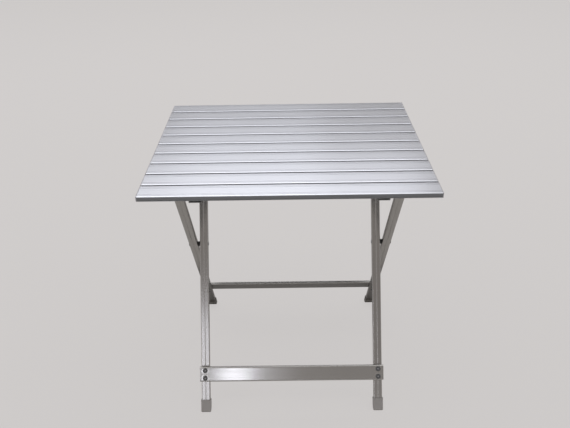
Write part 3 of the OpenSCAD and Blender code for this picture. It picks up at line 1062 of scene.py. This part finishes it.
# %% Rounded below, sloped above
slat_w, slat_step, slat_wall = 0.0505, 0.055, 0.0012
slat_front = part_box("slat_01")[0][1]
low_z, top_z = (corner[2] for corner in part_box("slat_01"))
under_cuts = (0.0029, 0.0026, 0.0013)
under_steps = ((0.0014, 0.00035), (0.00055, 0.0006), (0.0002, 0.00025))
shoulder_cuts = (0.0032, 0.0016)
shoulder_steps = ((0.0017, 0.00013), (0.0009, 0.00014))
front_part, rear_part = 1.0, 0.33


def round_under(piece, count):
    """Rounds the lower long edges of the slats: each step moves what is below it inwards."""
    for up in under_cuts:
        cut((0, 0, low_z + up), (0, 0, 1))
    for number in range(count):
        edge = slat_front + number * slat_step
        for line, way in ((edge, 1), (edge + slat_w, -1)):
            reach = slat_wall / 2
            for up, shift in under_steps:
                pick(piece, "VERT", lambda at, out: abs(at.y - line) < reach and at.z < low_z + up)
                bpy.ops.transform.translate(value=(0, way * shift, 0))
                reach += shift
    bpy.ops.object.mode_set(mode="OBJECT")


def soft_shoulders(piece, count):
    """Slopes the tops away: each step lowers what is nearer to the edge than its reach."""
    for number in range(count):
        edge = slat_front + number * slat_step
        for line, way, part in ((edge, 1, front_part), (edge + slat_w, -1, rear_part)):
            for inwards in shoulder_cuts:
                cut((0, line + way * inwards, 0), (0, 1, 0))
            for reach, drop in shoulder_steps:
                pick(
                    piece,
                    "VERT",
                    lambda at, out: abs(at.y - line) < reach and at.z > top_z - slat_wall,
                )
                bpy.ops.transform.translate(value=(0, 0, -drop * part))
    bpy.ops.object.mode_set(mode="OBJECT")


fall = sum(drop for reach, drop in shoulder_steps) * 1000
print("the top falls", round(fall, 2), "mm in front,", round(fall * rear_part, 2), "mm behind")

# %% The ten slats
slat = solid_copy("slat_01", "slat_shouldered")
round_under(slat, 1)
soft_shoulders(slat, 1)
close_up(slat)
tell(slat)
for number in range(10):
    node = f"slat_{number + 1:02d}"
    where = Matrix.Translation((0, number * slat_step, 0))
    place_copy(slat, f"{node}_shouldered", where, "tabletop", node, "slat_aluminium", slat_finish)
bpy.data.objects.remove(slat)

# %% [markdown]
# ## Crossbars drawn in by their rivets
# A blind rivet is set with such a pull that the thin wall under its head sinks
# a little. The dish is only 0.15 mm deep, but it bends the reflections of the
# polished bar. A bump in the material could fake it, but a modelled dish is
# there from every side. Each bar is copied, its long corners are rounded, and it
# is cut into a fine grid at its ends. The points under the heads are pushed in,
# and the wall round them follows softly, which is what proportional editing
# does.

# %% Corners and grid of a crossbar
bar_h, bar_face_h, flank_d = 0.041, 0.035, 0.0016
bar_corners = ((bar_face_h / 2, bar_t / 2), (bar_h / 2, bar_t / 2 - flank_d))
corner_r = 0.0008
grid, grid_across, grid_up = 0.002, 6, 8


def round_corners(piece, centre, up, out):
    """Rounds the long outer edges of a crossbar."""

    def on_corner(mid, way):
        at = abs((mid - centre).dot(up)), abs((mid - centre).dot(out))
        near_one = any(math.dist(at, corner) < 20 * hair for corner in bar_corners)
        return abs(way.x) > 0.99 and near_one

    pick(piece, "EDGE", on_corner)
    bpy.ops.mesh.bevel(offset=corner_r, segments=3, affect="EDGES", clamp_overlap=True)


def cut_grid(centre, up, stands):
    """Cuts the active crossbar across at both legs, and along its whole length."""
    for x in stands:
        for step in range(-grid_across, grid_across + 1):
            cut((x + step * grid, 0, 0), (1, 0, 0))
    for row in range(-grid_up, grid_up + 1):
        cut(centre + up * row * grid, up)


# %% The two crossbars
pressed_r, follow_r = 0.005, 0.007

for bar, leg, body, turn in crossbars:
    node = f"{bar}_crossbar"
    piece = solid_copy(node, f"{node}_drawn_in")
    spin = Matrix.Rotation(turn, 3, "Z")
    up, out = spin @ up_leg, spin @ Vector((0, -math.cos(lean), math.sin(lean)))
    centre = middle(node)
    stands = [middle(f"{leg}_leg_{side}").x for side in sides]
    round_corners(piece, centre, up, out)
    cut_grid(centre, up, stands)
    heads = [
        Vector((x, 0, 0)) + centre + up * row * rivet_step / 2 + out * bar_t / 2
        for x in stands
        for row in (-1, 1)
    ]
    pick(piece, "VERT", lambda at, way: any((at - head).length < pressed_r for head in heads))
    bpy.ops.transform.translate(
        value=-out * dish,
        use_proportional_edit=True,
        proportional_edit_falloff="SMOOTH",
        proportional_size=follow_r,
    )
    bpy.ops.object.mode_set(mode="OBJECT")
    close_up(piece)
    stand_for(piece, node, body)
    tell(piece)

# %% [markdown]
# ## Broken edges
# The end caps and the pressed brackets have the right shape already, but no real
# edge is perfectly sharp. Each is copied, the caps get the slats' soft edges, and
# a narrow bevel breaks the other edges so that they catch light. The bevel finds
# its edges by their angle, so nothing has to be picked.

# %% End caps and brackets with broken edges
broken = 0.0003

for side in sides:
    caps = f"slat_end_caps_{side}"
    cap = solid_copy(caps, f"{caps}_broken_edges")
    round_under(cap, 10)
    soft_shoulders(cap, 10)
    break_edges(cap, broken)
    stand_for(cap, caps, "tabletop")
    tell(cap)
    for kind in ("hinge", "stop"):
        bracket = f"{kind}_bracket_{side}"
        plate = solid_copy(bracket, f"{bracket}_broken_edges")
        break_edges(plate, broken)
        stand_for(plate, bracket, "tabletop")
        tell(plate)
